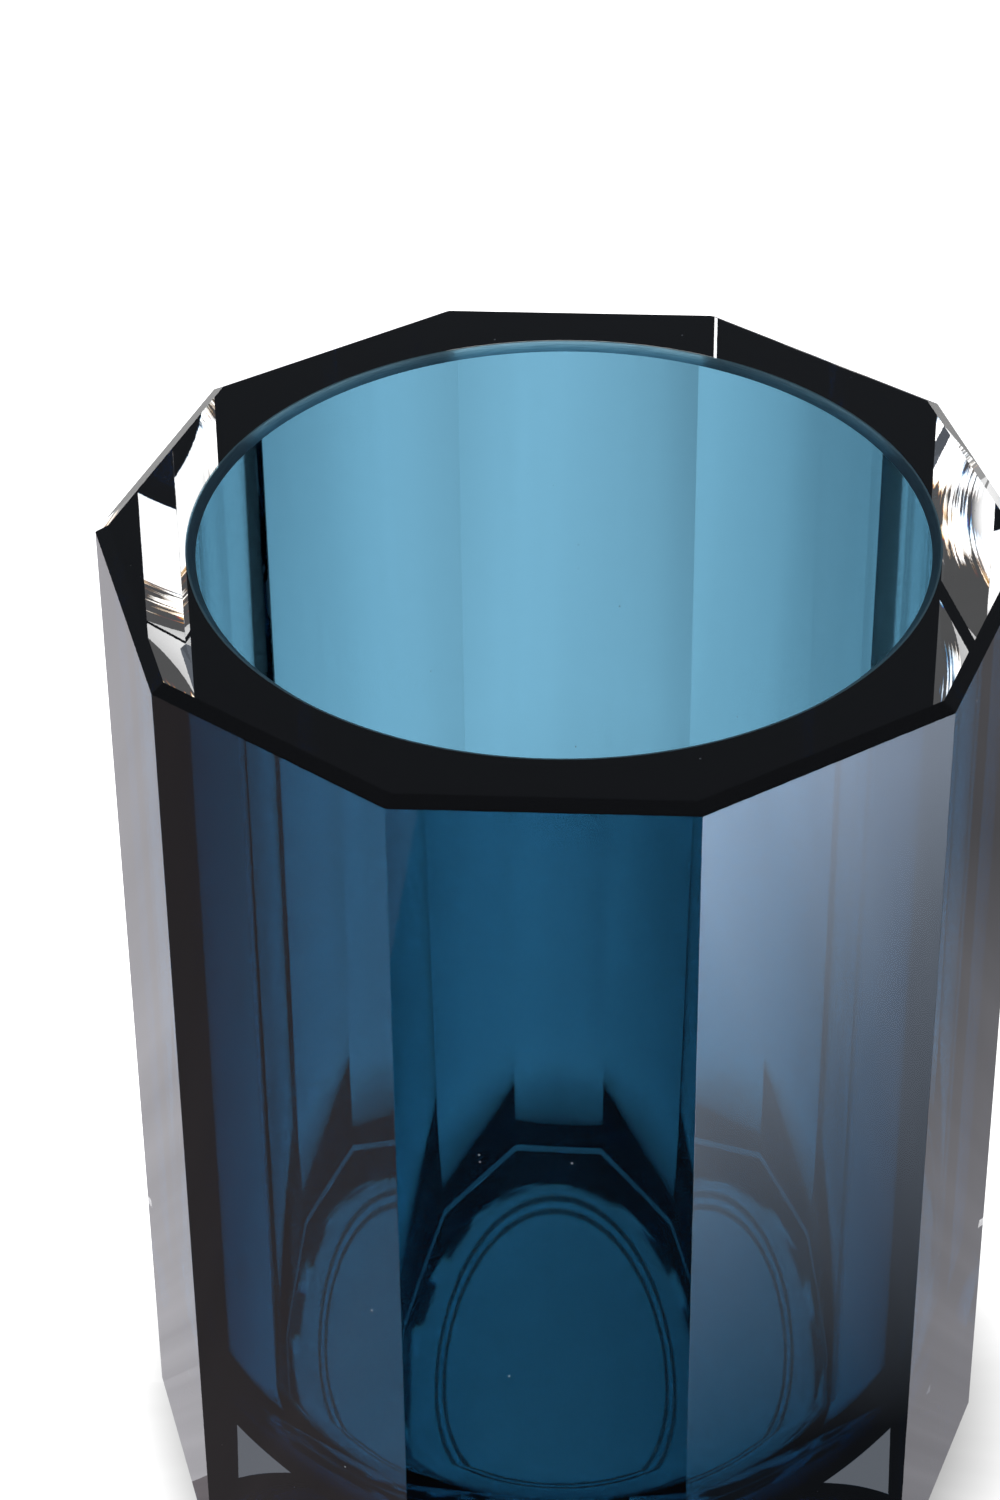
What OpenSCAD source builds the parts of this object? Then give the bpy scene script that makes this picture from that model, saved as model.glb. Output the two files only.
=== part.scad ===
// Ten-sided vase in thick cut crystal, cased inside with a thin layer of blue glass.
// Units are millimetres. The origin is the centre of the base, +Z is up, and one flat side faces -Y.

/* [Body] */
// Height from the base to the rim
height = 255; // [200:5:320]
// Width across opposite corners at the rim
rim_width = 200; // [190:1:220]
// Width across opposite corners at the base
base_width = 200; // [185:1:200]
// Number of flat sides cut round the body
sides = 10; // [8:1:12]
// Thickness of solid glass under the hollow
floor_thickness = 21; // [15:1:50]

/* [Cut edges] */
// Width of the polished chamfer along the rim's outer edge, measured flat
rim_chamfer = 2.8; // [1:0.1:4]
// Drop of that chamfer, measured down the side
rim_chamfer_drop = 1.8; // [1:0.1:4]
// Width of the ground chamfer round the base
base_chamfer = 1.5; // [0.5:0.1:3]
// Width of the ground bevel round the mouth
mouth_bevel = 1.7; // [0.5:0.1:1.9]

/* [Blue lining] */
// Diameter of the hollow
bore_width = 156; // [120:1:156]
// Thickness of the blue lining
lining_thickness = 2.1; // [2:0.1:3]
// Radius of the rounded corner between the hollow's wall and floor
floor_round = 40; // [5:1:40]

/* [Hidden] */

$fn = 180;
CORNER_STEPS = 12;

side_angle = 360 / sides;
rim_cut = 2 * rim_chamfer / cos(side_angle / 2);
base_cut = 2 * base_chamfer / cos(side_angle / 2);
side_height = height - base_chamfer - rim_chamfer_drop;

bore_radius = bore_width / 2;
lining_radius = bore_radius + lining_thickness;
lining_floor = floor_thickness - lining_thickness;

overlap = 1;

// Points of a quarter circle from the floor up to the wall of a round hollow
function floor_corner(radius, floor_z, corner) = [
    for (step = [0:CORNER_STEPS])
        let (turn = 90 * step / CORNER_STEPS)
        [
            radius - corner + corner * sin(turn),
            floor_z + corner - corner * cos(turn)
        ]
];

function reversed(list) = [for (i = [len(list) - 1:-1:0]) list[i]];

// Frustum with flat sides, one of them facing -Y, given its widths across opposite corners
module flat_sided(low_width, high_width, z, rise) {
    translate([0, 0, z])
        rotate([0, 0, side_angle / 2 - 90])
        cylinder(r1 = low_width / 2, r2 = high_width / 2, h = rise, $fn = sides);
}

// Space that the blue lining fills, open at the rim
module lining_space() {
    rotate_extrude()
        polygon(concat(
            [[0, lining_floor]],
            floor_corner(lining_radius, lining_floor, floor_round + lining_thickness),
            [[lining_radius, height + overlap], [0, height + overlap]]
        ));
}

// Clear crystal block, flat-cut round the outside and hollowed for the lining
module crystal_body() {
    color([0.90, 0.94, 0.97, 0.35])
        difference() {
            union() {
                flat_sided(base_width - base_cut, base_width, 0, base_chamfer);
                flat_sided(base_width, rim_width, base_chamfer, side_height);
                flat_sided(rim_width, rim_width - rim_cut, height - rim_chamfer_drop, rim_chamfer_drop);
            }
            lining_space();
        }
}

// Blue glass cup fused to the crystal, with a ground bevel round its mouth
module blue_lining() {
    color([0.13, 0.44, 0.60, 0.6])
        rotate_extrude()
            polygon(concat(
                [[0, lining_floor]],
                floor_corner(lining_radius, lining_floor, floor_round + lining_thickness),
                [
                    [lining_radius, height],
                    [bore_radius + mouth_bevel, height],
                    [bore_radius, height - mouth_bevel]
                ],
                reversed(floor_corner(bore_radius, floor_thickness, floor_round)),
                [[0, floor_thickness]]
            ));
}

crystal_body();
blue_lining();
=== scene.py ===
import math

import bpy
from mathutils import Matrix, Vector


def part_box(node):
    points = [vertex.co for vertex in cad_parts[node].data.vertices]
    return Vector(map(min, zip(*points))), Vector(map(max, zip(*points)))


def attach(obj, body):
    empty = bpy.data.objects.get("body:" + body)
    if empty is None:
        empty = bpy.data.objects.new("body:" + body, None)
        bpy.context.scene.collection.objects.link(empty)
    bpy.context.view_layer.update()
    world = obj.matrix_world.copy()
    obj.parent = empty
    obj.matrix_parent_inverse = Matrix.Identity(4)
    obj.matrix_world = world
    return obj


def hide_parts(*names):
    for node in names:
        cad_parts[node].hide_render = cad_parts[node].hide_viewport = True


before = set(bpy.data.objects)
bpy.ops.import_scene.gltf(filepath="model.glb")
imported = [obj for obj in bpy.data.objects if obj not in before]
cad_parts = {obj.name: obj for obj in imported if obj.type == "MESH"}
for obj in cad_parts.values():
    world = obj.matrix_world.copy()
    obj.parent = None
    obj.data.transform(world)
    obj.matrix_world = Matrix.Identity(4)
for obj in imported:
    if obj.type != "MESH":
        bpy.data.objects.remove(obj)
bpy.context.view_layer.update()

# Sizes are metres. The CAD boxes give the outside of both glasses.
body_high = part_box("crystal_body")[1]
lining_low, lining_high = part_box("blue_lining")

FULL_TURN = 2 * math.pi
SIDES = 10
SIDE_ANGLE = FULL_TURN / SIDES
HEIGHT = body_high[2]
CORNER_RADIUS = body_high[0]
LINING_RADIUS = lining_high[0]
LINING_FLOOR = lining_low[2]

LINING_THICKNESS = 0.0021
BORE_RADIUS = LINING_RADIUS - LINING_THICKNESS
BORE_FLOOR = LINING_FLOOR + LINING_THICKNESS
FLOOR_ROUND = 0.040
RIM_CHAMFER = 0.0028
RIM_CHAMFER_DROP = 0.0018
BASE_CHAMFER = 0.0015
MOUTH_BEVEL = 0.0017
# Width of the narrow polished flat along each corner of the cut sides.
EDGE_WIDTH = 0.00012

ROUND_STEPS = 180
CORNER_STEPS = 14
GLASS_IOR = 1.52

# The gap keeps the two glasses' facing walls apart, so a ray meets them in order.
FUSED_GAP = 0.00003
# Straight rings this close to each bend keep the shading of the flat wall flat.
SUPPORT = 0.001


class MeshParts:
    """Collects vertices and faces, with a flag for each face."""

    def __init__(self):
        self.vertices = []
        self.faces = []
        self.flags = []

    def ring(self, points):
        first = len(self.vertices)
        self.vertices.extend(points)
        return range(first, len(self.vertices))

    def face(self, corners, flag):
        self.faces.append(tuple(corners))
        self.flags.append(flag)

    def band(self, lower, upper, flag):
        """Quads between two rings of equal count, facing outwards from lower to upper."""
        count = len(lower)
        for k in range(count):
            n = (k + 1) % count
            self.face((lower[k], lower[n], upper[n], upper[k]), flag)

    def object(self, name, materials):
        mesh = bpy.data.meshes.new(name)
        mesh.from_pydata(self.vertices, [], self.faces)
        for material in materials:
            mesh.materials.append(material)
        mesh.update()
        made = bpy.data.objects.new(name, mesh)
        bpy.context.scene.collection.objects.link(made)
        return made


def cut_outline(radius, z):
    """Ring of a flat-sided prism, whose corners are narrow polished flats."""
    half = EDGE_WIDTH / 2 / radius
    inset = radius - EDGE_WIDTH / 2 * math.tan(SIDE_ANGLE / 2)
    points = []
    for k in range(SIDES):
        corner = -math.pi / 2 + (k + 0.5) * SIDE_ANGLE
        for turn in (corner - half, corner + half):
            points.append((inset * math.cos(turn), inset * math.sin(turn), z))
    return points


def circle(radius, z):
    """Ring of points round the vase's axis."""
    turns = [FULL_TURN * k / ROUND_STEPS for k in range(ROUND_STEPS)]
    return [(radius * math.cos(t), radius * math.sin(t), z) for t in turns]


def turn_of(point):
    """Angle of a point round the vase's axis, from 0 to a full turn."""
    return math.atan2(point[1], point[0]) % FULL_TURN


def rim_face(parts, inner, outer, flag):
    """Flat face between a circle and the cut outline round it, facing up."""
    inner = sorted(inner, key=lambda i: turn_of(parts.vertices[i]))
    outer = sorted(outer, key=lambda i: turn_of(parts.vertices[i]))
    i = 0
    o = 0
    while i < len(inner) or o < len(outer):
        inner_now = inner[i % len(inner)]
        outer_now = outer[o % len(outer)]
        inner_next = inner[(i + 1) % len(inner)]
        outer_next = outer[(o + 1) % len(outer)]
        inner_turn = turn_of(parts.vertices[inner_next]) + FULL_TURN * (i + 1 >= len(inner))
        outer_turn = turn_of(parts.vertices[outer_next]) + FULL_TURN * (o + 1 >= len(outer))
        step_inner = i < len(inner) and (o >= len(outer) or inner_turn <= outer_turn)
        if step_inner:
            parts.face((outer_now, inner_next, inner_now), flag)
            i += 1
        else:
            parts.face((outer_now, outer_next, inner_now), flag)
            o += 1


def floor_corner(radius, floor_z, corner):
    """(radius, z) points of the round corner, from the wall down to the floor."""
    points = []
    for step in range(CORNER_STEPS + 1):
        turn = math.pi / 2 * step / CORNER_STEPS
        out = radius - corner + corner * math.cos(turn)
        points.append((out, floor_z + corner - corner * math.sin(turn)))
    return points


# Flags of the crystal's faces, which are also their places in its list of materials.
OUTSIDE = 0
CAVITY = 1


def build_crystal(materials):
    """The clear block: flat-cut outside, with a round cavity for the lining."""
    parts = MeshParts()
    chamfer_in = RIM_CHAMFER / math.cos(SIDE_ANGLE / 2)
    base_in = BASE_CHAMFER / math.cos(SIDE_ANGLE / 2)
    base_inner = parts.ring(cut_outline(CORNER_RADIUS - base_in, 0.0))
    base_outer = parts.ring(cut_outline(CORNER_RADIUS, BASE_CHAMFER))
    side_top = parts.ring(cut_outline(CORNER_RADIUS, HEIGHT - RIM_CHAMFER_DROP))
    rim_outer = parts.ring(cut_outline(CORNER_RADIUS - chamfer_in, HEIGHT))
    parts.face(reversed(base_inner), OUTSIDE)
    parts.band(base_inner, base_outer, OUTSIDE)
    parts.band(base_outer, side_top, OUTSIDE)
    parts.band(side_top, rim_outer, OUTSIDE)
    wall = LINING_RADIUS + FUSED_GAP
    cavity_top = parts.ring(circle(wall, HEIGHT))
    rim_face(parts, cavity_top, rim_outer, OUTSIDE)
    corner = FLOOR_ROUND + LINING_THICKNESS + FUSED_GAP
    previous = cavity_top
    for radius, z in floor_corner(wall, LINING_FLOOR - FUSED_GAP, corner):
        current = parts.ring(circle(radius, z))
        parts.band(previous, current, CAVITY)
        previous = current
    parts.face(previous, CAVITY)
    crystal = parts.object("cut_crystal", materials)
    for polygon, flag in zip(crystal.data.polygons, parts.flags):
        polygon.material_index = flag
        polygon.use_smooth = flag == CAVITY
    return crystal


# Flags of the lining's faces.
INSIDE = 0
FUSED = 1
GROUND = 2
CUT_TOP = 3


def turned_profile(parts, profile, flag):
    """Surface of revolution round the vase's axis."""
    rings = [parts.ring(circle(radius, z)) for radius, z in profile]
    for one, two in zip(rings, rings[1:]):
        parts.band(one, two, flag)
    return rings


def build_lining(material):
    """The blue cup, with each face flagged as inside, fused, ground or cut edge."""
    parts = MeshParts()
    outer_corner = FLOOR_ROUND + LINING_THICKNESS
    outer = [(LINING_RADIUS - outer_corner - SUPPORT, LINING_FLOOR)]
    outer += reversed(floor_corner(LINING_RADIUS, LINING_FLOOR, outer_corner))
    outer += [
        (LINING_RADIUS, LINING_FLOOR + outer_corner + SUPPORT),
        (LINING_RADIUS, HEIGHT - SUPPORT),
        (LINING_RADIUS, HEIGHT),
    ]
    rings = turned_profile(parts, outer, FUSED)
    parts.face(reversed(rings[0]), FUSED)
    bevel_top = (BORE_RADIUS + MOUTH_BEVEL, HEIGHT)
    bevel_foot = (BORE_RADIUS, HEIGHT - MOUTH_BEVEL)
    turned_profile(parts, [(LINING_RADIUS, HEIGHT), bevel_top], CUT_TOP)
    turned_profile(parts, [bevel_top, bevel_foot], GROUND)
    inner = [
        bevel_foot,
        (BORE_RADIUS, HEIGHT - MOUTH_BEVEL - SUPPORT),
        (BORE_RADIUS, BORE_FLOOR + FLOOR_ROUND + SUPPORT),
    ]
    inner += floor_corner(BORE_RADIUS, BORE_FLOOR, FLOOR_ROUND)
    inner += [(BORE_RADIUS - FLOOR_ROUND - SUPPORT, BORE_FLOOR)]
    rings = turned_profile(parts, inner, INSIDE)
    parts.face(rings[-1], INSIDE)
    lining = parts.object("blue_glass_cup", [material])
    for name, marked in (("fused", FUSED), ("ground", GROUND), ("cut_edge", CUT_TOP)):
        layer = lining.data.attributes.new(name, "FLOAT", "FACE")
        layer.data.foreach_set("value", [float(flag == marked) for flag in parts.flags])
    for polygon in lining.data.polygons:
        polygon.use_smooth = True
    return lining


class Nodes:
    """Short calls for building one material's nodes."""

    def __init__(self, name):
        self.material = bpy.data.materials.new(name)
        self.material.use_nodes = True
        self.tree = self.material.node_tree
        self.tree.nodes.clear()
        self.output = self.add("ShaderNodeOutputMaterial")

    def add(self, kind, **values):
        node = self.tree.nodes.new(kind)
        for name, value in values.items():
            setattr(node, name, value)
        return node

    def link(self, source, target):
        self.tree.links.new(source, target)

    def surface(self, shader):
        self.link(shader, self.output.inputs["Surface"])

    def place(self):
        return self.add("ShaderNodeTexCoord").outputs["Object"]

    def face_flag(self, name):
        return self.add("ShaderNodeAttribute", attribute_name=name).outputs["Fac"]

    def math(self, operation, *values):
        node = self.add("ShaderNodeMath", operation=operation)
        for socket, value in zip(node.inputs, values):
            if isinstance(value, float):
                socket.default_value = value
            else:
                self.link(value, socket)
        return node.outputs[0]

    def product(self, first, *others):
        result = first
        for value in others:
            result = self.math("MULTIPLY", result, value)
        return result

    def minus(self, first, second):
        return self.math("SUBTRACT", first, second)

    def ramp(self, source, low, high):
        """0 at low and 1 at high, in a straight line between."""
        node = self.add("ShaderNodeMapRange")
        self.link(source, node.inputs["Value"])
        node.inputs["From Min"].default_value = low
        node.inputs["From Max"].default_value = high
        return node.outputs["Result"]

    def mix(self, factor, first, second):
        """The first shader at factor 0 and the second at factor 1."""
        node = self.add("ShaderNodeMixShader")
        self.link(factor, node.inputs[0])
        self.link(first, node.inputs[1])
        self.link(second, node.inputs[2])
        return node.outputs[0]

    def mix_colours(self, factor, first, second):
        """A blend of two colours, each a plain colour or a node's output."""
        node = self.add("ShaderNodeMix", data_type="RGBA")
        self.link(factor, node.inputs["Factor"])
        for socket, colour in zip(node.inputs[6:8], (first, second)):
            if isinstance(colour, tuple):
                socket.default_value = colour
            else:
                self.link(colour, socket)
        return node.outputs[2]

    def noise(self, coordinates, scale, detail):
        node = self.add("ShaderNodeTexNoise")
        self.link(coordinates, node.inputs["Vector"])
        node.inputs["Scale"].default_value = scale
        node.inputs["Detail"].default_value = detail
        return node.outputs["Fac"]

    def mapped(self, coordinates, scale, shift=(0.0, 0.0, 0.0)):
        node = self.add("ShaderNodeMapping")
        self.link(coordinates, node.inputs["Vector"])
        node.inputs["Location"].default_value = shift
        node.inputs["Scale"].default_value = scale
        return node.outputs["Vector"]

    def split(self, vector):
        node = self.add("ShaderNodeSeparateXYZ")
        self.link(vector, node.inputs[0])
        return node.outputs

    def joined(self, *values):
        node = self.add("ShaderNodeCombineXYZ")
        for socket, value in zip(node.inputs, values):
            self.link(value, socket)
        return node.outputs[0]

    def diffuse(self, colour):
        node = self.add("ShaderNodeBsdfDiffuse")
        node.inputs["Color"].default_value = colour
        return node.outputs[0]

    def clear(self):
        return self.add("ShaderNodeBsdfTransparent").outputs[0]

    def emission(self):
        node = self.add("ShaderNodeEmission")
        self.surface(node.outputs[0])
        return node


def polar(nodes, place):
    """(distance from the vase's axis, angle round it) of a point on the floor's level."""
    across = nodes.split(place)
    length = nodes.add("ShaderNodeVectorMath", operation="LENGTH")
    nodes.link(place, length.inputs[0])
    angle = nodes.math("ARCTAN2", across["Y"], across["X"])
    return length.outputs["Value"], angle


WHITE = (1.0, 1.0, 1.0, 1.0)

# Polishing marks: fine lines drawn out along the height, over a slow waviness, as a shallow bump.
LINE_SCALE = 900.0
LINE_STRETCH = (1.0, 1.0, 0.05)
LINE_HEIGHT = 0.02
WAVE_SCALE = 22.0
WAVE_HEIGHT = 0.3
BUMP_STRENGTH = 0.25
BUMP_DISTANCE = 0.0001


def polished_glass(nodes, place):
    """Clear glass with fine polishing lines and a slight waviness."""
    glass = nodes.add("ShaderNodeBsdfPrincipled")
    glass.inputs["Base Color"].default_value = WHITE
    glass.inputs["Transmission Weight"].default_value = 1.0
    glass.inputs["IOR"].default_value = GLASS_IOR
    glass.inputs["Roughness"].default_value = 0.0
    lines = nodes.noise(nodes.mapped(place, LINE_STRETCH), LINE_SCALE, 2.0)
    waves = nodes.noise(place, WAVE_SCALE, 1.0)
    height = nodes.math("ADD", nodes.product(waves, WAVE_HEIGHT), nodes.product(lines, LINE_HEIGHT))
    bump = nodes.add("ShaderNodeBump")
    bump.inputs["Strength"].default_value = BUMP_STRENGTH
    bump.inputs["Distance"].default_value = BUMP_DISTANCE
    nodes.link(height, bump.inputs["Height"])
    nodes.link(bump.outputs["Normal"], glass.inputs["Normal"])
    return glass


DUST = (0.75, 0.78, 0.80, 1.0)
DUST_CELLS = 160.0
DUST_SIZE = 0.035
DUSTY_ABOVE = 0.72
DUST_COVER = 0.6


def specks(nodes, place):
    """1 on a few small dots and 0 elsewhere."""
    cells = nodes.add("ShaderNodeTexVoronoi")
    nodes.link(place, cells.inputs["Vector"])
    cells.inputs["Scale"].default_value = DUST_CELLS
    near = nodes.math("LESS_THAN", cells.outputs["Distance"], DUST_SIZE)
    picked = nodes.add("ShaderNodeSeparateColor")
    nodes.link(cells.outputs["Color"], picked.inputs[0])
    chosen = nodes.math("GREATER_THAN", picked.outputs[0], DUSTY_ABOVE)
    return nodes.product(near, chosen)


def crystal_material():
    """Clear crystal with a few specks of dust."""
    nodes = Nodes("clear crystal")
    place = nodes.place()
    glass = polished_glass(nodes, place)
    marks = nodes.product(specks(nodes, place), DUST_COVER)
    nodes.surface(nodes.mix(marks, glass.outputs[0], nodes.diffuse(DUST)))
    return nodes.material


def fused_material():
    """The join inside the crystal, where light passes from one glass into the other without bending."""
    nodes = Nodes("fused join")
    nodes.surface(nodes.clear())
    return nodes.material


# What the blue glass lets through, and how strongly it takes light away along its depth.
BLUE_TINT = (0.0, 0.37, 0.51, 1.0)
BLUE_DENSITY = 1080.0

GROUND_ROUGHNESS = 0.42
GROUND_FROST = 0.45
FROST = (0.16, 0.30, 0.38, 1.0)
DARK_GROOVE = (0.10, 0.24, 0.34, 1.0)
PALE_GROOVE = (0.26, 0.52, 0.66, 1.0)
GROOVES_ROUND = 14.0
GROOVES_ACROSS = 5000.0
CUT_EDGE = (0.50, 0.85, 0.95, 1.0)
CUT_EDGE_COVER = 0.5

# Two dark rings painted on the hollow's floor: their radii, and how far each one's core and its fade reach.
RING_RADII = (0.0530, 0.0495)
RING_CORE = 0.0004
RING_FADE = 0.0012
RING_DARK = (0.03, 0.10, 0.14, 1.0)
RING_COVER = 0.75


def groove_colour(nodes, reach, angle):
    """Colour of the ground bevel, streaked along the mouth."""
    around = nodes.joined(nodes.product(angle, GROOVES_ROUND), nodes.product(reach, GROOVES_ACROSS))
    grooves = nodes.ramp(nodes.noise(around, 1.0, 3.0), 0.35, 0.65)
    return nodes.mix_colours(grooves, DARK_GROOVE, PALE_GROOVE)


def ring_line(nodes, reach, radius):
    """1 on a thin circle round the axis, fading to 0 on both sides."""
    away = nodes.math("ABSOLUTE", nodes.minus(reach, radius))
    return nodes.minus(1.0, nodes.ramp(away, RING_CORE, RING_FADE))


def floor_rings(nodes, reach, height):
    """1 on the two rings, which lie on the hollow's floor and not on its wall."""
    outer, inner = [ring_line(nodes, reach, radius) for radius in RING_RADII]
    on_floor = nodes.math("LESS_THAN", height, BORE_FLOOR + FLOOR_ROUND / 2)
    return nodes.product(nodes.math("ADD", outer, inner), on_floor)


def lining_material():
    """Blue glass: polished inside, fused outside, with a ground bevel and a pale cut edge at the mouth."""
    nodes = Nodes("blue glass")
    place = nodes.place()
    reach, angle = polar(nodes, nodes.mapped(place, (1.0, 1.0, 0.0)))
    ground = nodes.face_flag("ground")
    glass = polished_glass(nodes, place)
    nodes.link(nodes.product(ground, GROUND_ROUGHNESS), glass.inputs["Roughness"])
    colour = nodes.mix_colours(ground, WHITE, groove_colour(nodes, reach, angle))
    nodes.link(colour, glass.inputs["Base Color"])
    frosted = nodes.product(ground, GROUND_FROST)
    surface = nodes.mix(frosted, glass.outputs[0], nodes.diffuse(FROST))
    pale = nodes.product(nodes.face_flag("cut_edge"), CUT_EDGE_COVER)
    surface = nodes.mix(pale, surface, nodes.diffuse(CUT_EDGE))
    ringed = nodes.product(floor_rings(nodes, reach, nodes.split(place)["Z"]), RING_COVER)
    surface = nodes.mix(ringed, surface, nodes.diffuse(RING_DARK))
    nodes.surface(nodes.mix(nodes.face_flag("fused"), surface, nodes.clear()))
    tint = nodes.add("ShaderNodeVolumeAbsorption")
    tint.inputs["Color"].default_value = BLUE_TINT
    tint.inputs["Density"].default_value = BLUE_DENSITY
    nodes.link(tint.outputs[0], nodes.output.inputs["Volume"])
    return nodes.material


# The camera stands a little to the right of the middle of the front side.
CAMERA_TURN = math.radians(2.33)


def turned(x, y, z):
    """A point given in axes that are square to the camera, as a point of the frame."""
    cos = math.cos(CAMERA_TURN)
    sin = math.sin(CAMERA_TURN)
    return (x * cos - y * sin, x * sin + y * cos, z)


def sheet(name, low, high, z, material):
    """A flat sheet of the stage, square to the camera, between two (x, y) corners."""
    parts = MeshParts()
    outline = [(low[0], low[1]), (high[0], low[1]), (high[0], high[1]), (low[0], high[1])]
    parts.face(parts.ring([turned(x, y, z) for x, y in outline]), 0)
    made = parts.object(name, [material])
    return made


FLOOR_Z = -0.0005
CARD_Z = -0.0002


def card(name, low, high, material):
    """A sheet just above the floor, reaching under the vase, that only the glass reflects."""
    made = sheet(name, low, high, CARD_Z, material)
    made.visible_camera = False
    made.visible_transmission = False
    made.visible_diffuse = False


def streaks(nodes, angle, scale, low, high):
    """Soft rays round the vase, between low and high."""
    grain = nodes.noise(nodes.joined(angle), scale, 3.0)
    spread = nodes.product(nodes.ramp(grain, 0.3, 0.7), high - low)
    return nodes.math("ADD", spread, low)


def glow(name, colour, strength):
    """Even light."""
    nodes = Nodes(name)
    light = nodes.emission()
    light.inputs["Color"].default_value = (*colour, 1.0)
    light.inputs["Strength"].default_value = strength
    return nodes.material


# Where a card that dims towards the back begins to, and where it has.
DIM_START = -0.21
DIM_END = -0.12


def fading_glow(name, colour, near_strength, far_strength, near, far, back_dim=0.0):
    """Faintly streaked light that changes with distance from the vase's axis and dims towards the back."""
    nodes = Nodes(name)
    place = nodes.place()
    reach, angle = polar(nodes, place)
    backward = nodes.ramp(nodes.split(place)["Y"], DIM_START, DIM_END)
    dim = nodes.minus(1.0, nodes.product(backward, back_dim))
    strength = nodes.product(nodes.ramp(reach, near, far), far_strength - near_strength)
    strength = nodes.math("ADD", strength, near_strength)
    light = nodes.emission()
    light.inputs["Color"].default_value = (*colour, 1.0)
    streaked = nodes.product(nodes.product(strength, dim), streaks(nodes, angle, 9.0, 0.88, 1.1))
    nodes.link(streaked, light.inputs["Strength"])
    return nodes.material


def streaked_glow(name, colour, strength):
    return fading_glow(name, colour, strength, strength, 0.1, 0.5)


# Under the crystal wall, between these distances from the axis, the floor carries the glints.
WALL_START = 0.078
WALL_FULL = 0.082
WALL_END = 0.0945

FLOOR_STRENGTH = 2.2
# Painted shadow: under the hollow the floor gives only this share of its light.
SHADOW_UNDER_HOLLOW = 0.68
SHADE_START = 0.094
SHADE_END = 0.125
CONTACT_SHADE = 0.7

# Light lost on each side of the vase: how far out the loss starts, how far out it is whole, and its share.
RIGHT_LOSS = (-0.03, 0.12, 0.36)
FAR_RIGHT_LOSS = (0.12, 0.40, 0.12)
LEFT_LOSS = (0.07, 0.36, 0.48)

# A pattern of patches and lines is black below its dark level and white above its bright one.
PATCH_STRETCH = (1.0, 1.6, 1.0)
PATCH_SCALE = 30.0
LINE_SHARE = 0.34
DARK_LEVEL = 0.525
BRIGHT_LEVEL = 0.585
# How far apart the colours of the painted glints are moved, which paints their coloured edges.
GLINT_SPLIT = 0.0004
GLINT_COVER = 0.96
LINES_ROUND = 2.0
LINES_ACROSS = 1400.0


def loss(nodes, outwards, start, end, share):
    return nodes.product(nodes.ramp(outwards, start, end), share)


def floor_fall(nodes, across):
    """1 in front of and behind the vase, and less to its right and far left."""
    right = loss(nodes, across, *RIGHT_LOSS)
    far_right = loss(nodes, across, *FAR_RIGHT_LOSS)
    left = loss(nodes, nodes.product(across, -1.0), *LEFT_LOSS)
    lost = nodes.math("ADD", left, nodes.math("ADD", right, far_right))
    return nodes.minus(1.0, lost)


def contact_shade(nodes, reach):
    """1 on the open floor, and less just outside the base."""
    outside = nodes.math("GREATER_THAN", reach, WALL_END)
    near_base = nodes.product(outside, nodes.minus(1.0, nodes.ramp(reach, SHADE_START, SHADE_END)))
    return nodes.minus(1.0, nodes.product(near_base, CONTACT_SHADE))


def glint_channel(nodes, place, lines, shift):
    """Bright and dark patches crossed by fine lines, moved a little for each colour, so that the painted
    glints get coloured edges.
    """
    moved = nodes.mapped(place, PATCH_STRETCH, (0.0, shift, 0.0))
    patches = nodes.noise(moved, PATCH_SCALE, 1.5)
    pattern = nodes.math("ADD", patches, nodes.product(nodes.minus(lines, 0.5), LINE_SHARE))
    return nodes.ramp(pattern, DARK_LEVEL, BRIGHT_LEVEL)


def glints(nodes, place, reach, angle):
    """Painted glints: white on black, with slightly coloured edges that stand in for the glass's dispersion.
    """
    along = nodes.joined(nodes.product(angle, LINES_ROUND), nodes.product(reach, LINES_ACROSS))
    lines = nodes.noise(along, 1.0, 2.0)
    colour = nodes.add("ShaderNodeCombineColor")
    for socket, shift in zip(colour.inputs, (-GLINT_SPLIT, 0.0, GLINT_SPLIT)):
        nodes.link(glint_channel(nodes, place, lines, shift), socket)
    return colour.outputs[0]


def floor_material():
    """Bright pale floor: soft rays all round, less light to the sides, a painted shadow under the hollow and
    just outside the base, and painted glints under the crystal wall.
    """
    nodes = Nodes("lit floor")
    place = nodes.place()
    reach, angle = polar(nodes, place)
    rays = streaks(nodes, angle, 4.0, 0.92, 1.04)
    open_floor = nodes.product(floor_fall(nodes, nodes.split(place)["X"]), rays, FLOOR_STRENGTH)
    # Painted shadow: the floor is darker under the hollow, up to the crystal wall.
    past_hollow = nodes.ramp(reach, WALL_START, WALL_FULL)
    shaded = nodes.math("ADD", nodes.product(past_hollow, 1.0 - SHADOW_UNDER_HOLLOW), SHADOW_UNDER_HOLLOW)
    light = nodes.emission()
    strength = nodes.product(open_floor, shaded, contact_shade(nodes, reach))
    nodes.link(strength, light.inputs["Strength"])
    wall = nodes.product(past_hollow, nodes.math("LESS_THAN", reach, WALL_END))
    cover = nodes.product(wall, GLINT_COVER)
    colour = nodes.mix_colours(cover, WHITE, glints(nodes, place, reach, angle))
    nodes.link(colour, light.inputs["Color"])
    return nodes.material


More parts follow.
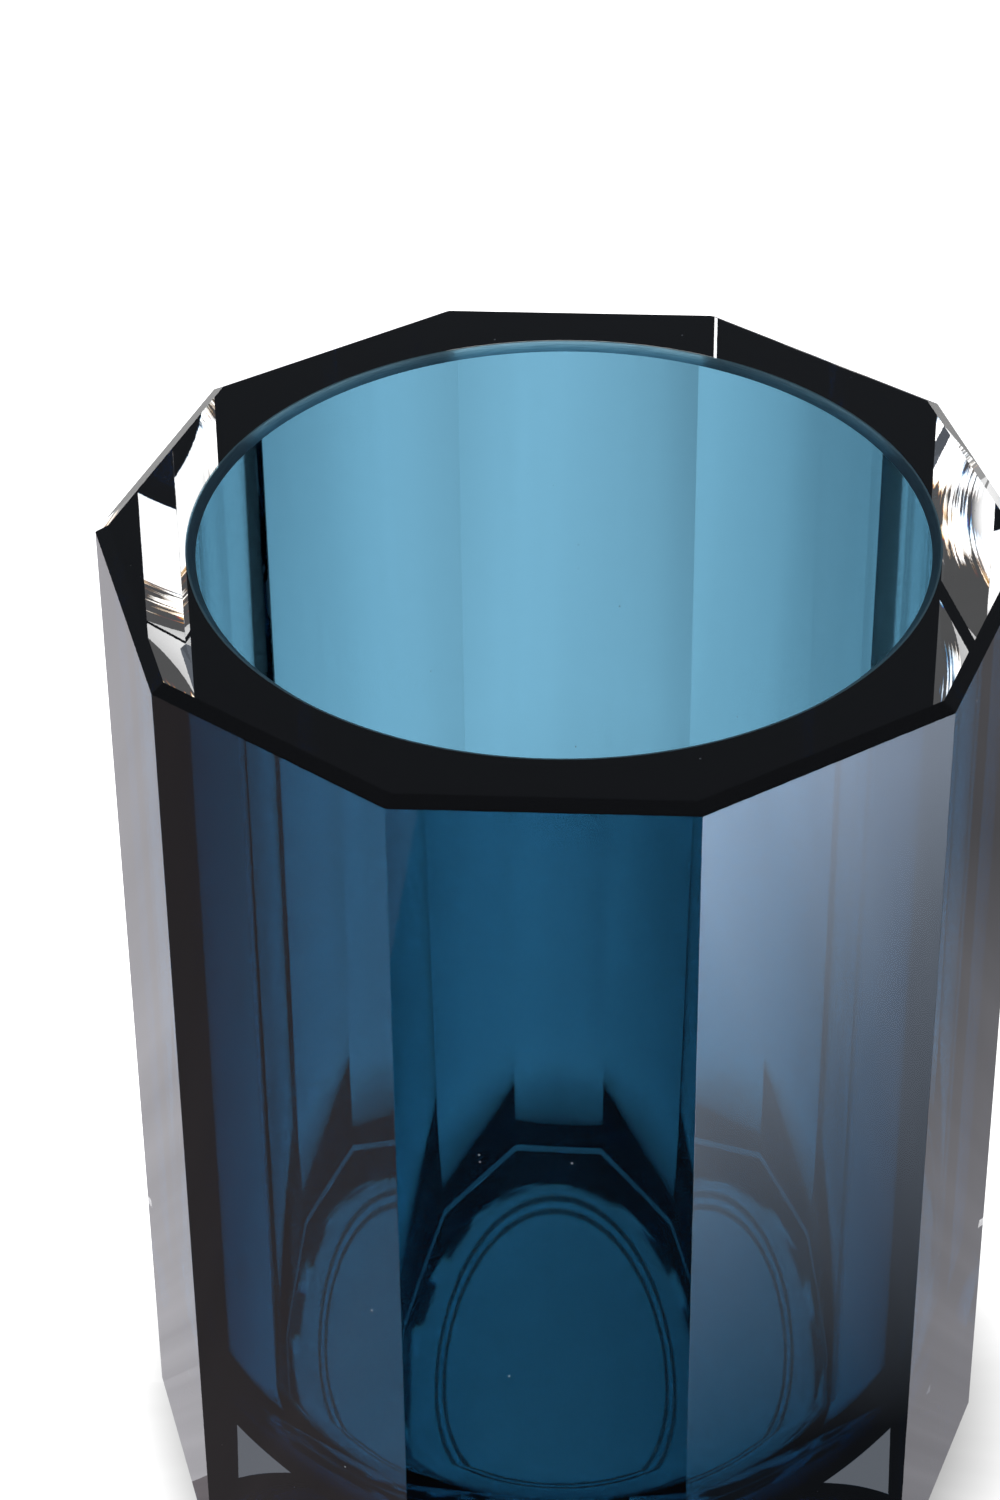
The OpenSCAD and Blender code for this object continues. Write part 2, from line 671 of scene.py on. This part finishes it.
def build_cards():
    """One card for each way that the vase's sides face, as seen from the camera."""
    dark = glow("dark card", (0.02, 0.02, 0.022), 1.0)
    slate = streaked_glow("slate card", (0.60, 0.54, 0.58), 0.45)
    grey = streaked_glow("grey card", (0.96, 0.94, 1.0), 0.72)
    cool = fading_glow("cool card", (0.68, 0.80, 1.0), 0.2, 7.0, 0.15, 0.42, back_dim=0.55)
    shade = fading_glow("shade card", (0.93, 0.92, 1.0), 0.5, 0.2, 0.12, 0.30)
    middle = 0.07
    far = 1.2
    card("front_card", (-middle, -1.5), (middle, -0.05), dark)
    card("front_left_card", (-far, -far), (-middle, -0.03), slate)
    card("back_left_card", (-far, -0.03), (-middle, far), grey)
    card("back_card", (-middle, -0.05), (middle, far), grey)
    card("front_right_card", (middle, -far), (far, -0.05), cool)
    card("back_right_card", (middle, -0.05), (far, far), shade)


def build_stage():
    half = 20.0
    sheet("white_floor", (-half, -half), (half, half), FLOOR_Z, floor_material())
    build_cards()
    world = bpy.data.worlds.new("studio")
    bpy.context.scene.world = world
    world.use_nodes = True
    sky = world.node_tree.nodes["Background"]
    sky.inputs["Color"].default_value = (0.86, 0.96, 1.12, 1.0)
    sky.inputs["Strength"].default_value = 0.135


# The camera looks at the centre of the rim, then turns aside and down, so the vase sits high and right.
LENS = 100.8
DISTANCE = 0.8916
ELEVATION = math.radians(33.47)
AIM_ASIDE = math.radians(0.8662)
AIM_DOWN = math.radians(2.9318)


def build_camera():
    data = bpy.data.cameras.new("camera")
    data.sensor_width = 36.0
    data.sensor_fit = "AUTO"
    data.lens = LENS
    data.clip_end = 100.0
    camera = bpy.data.objects.new("camera", data)
    bpy.context.scene.collection.objects.link(camera)
    back = DISTANCE * math.cos(ELEVATION)
    place = Vector(turned(0.0, -back, HEIGHT + DISTANCE * math.sin(ELEVATION)))
    forward = (Vector((0.0, 0.0, HEIGHT)) - place).normalized()
    right = forward.cross(Vector((0.0, 0.0, 1.0))).normalized()
    up = right.cross(forward)
    aim = Matrix((right, up, -forward)).transposed()
    aim = aim @ Matrix.Rotation(-AIM_DOWN, 3, "X") @ Matrix.Rotation(AIM_ASIDE, 3, "Y")
    camera.matrix_world = Matrix.Translation(place) @ aim.to_4x4()
    bpy.context.scene.camera = camera


def set_light_paths():
    """Light crosses many glass faces before it leaves the vase, so its paths are long."""
    scene = bpy.context.scene
    scene.view_settings.view_transform = "Standard"
    scene.cycles.max_bounces = 32
    scene.cycles.transmission_bounces = 32
    scene.cycles.glossy_bounces = 16
    scene.cycles.transparent_max_bounces = 64
    scene.cycles.diffuse_bounces = 4
    scene.cycles.caustics_reflective = True
    scene.cycles.caustics_refractive = True
    scene.cycles.use_denoising = True


crystal = build_crystal([crystal_material(), fused_material()])
lining = build_lining(lining_material())
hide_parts("crystal_body")
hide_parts("blue_lining")
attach(crystal, "root")
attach(lining, "root")
build_stage()
build_camera()
set_light_paths()
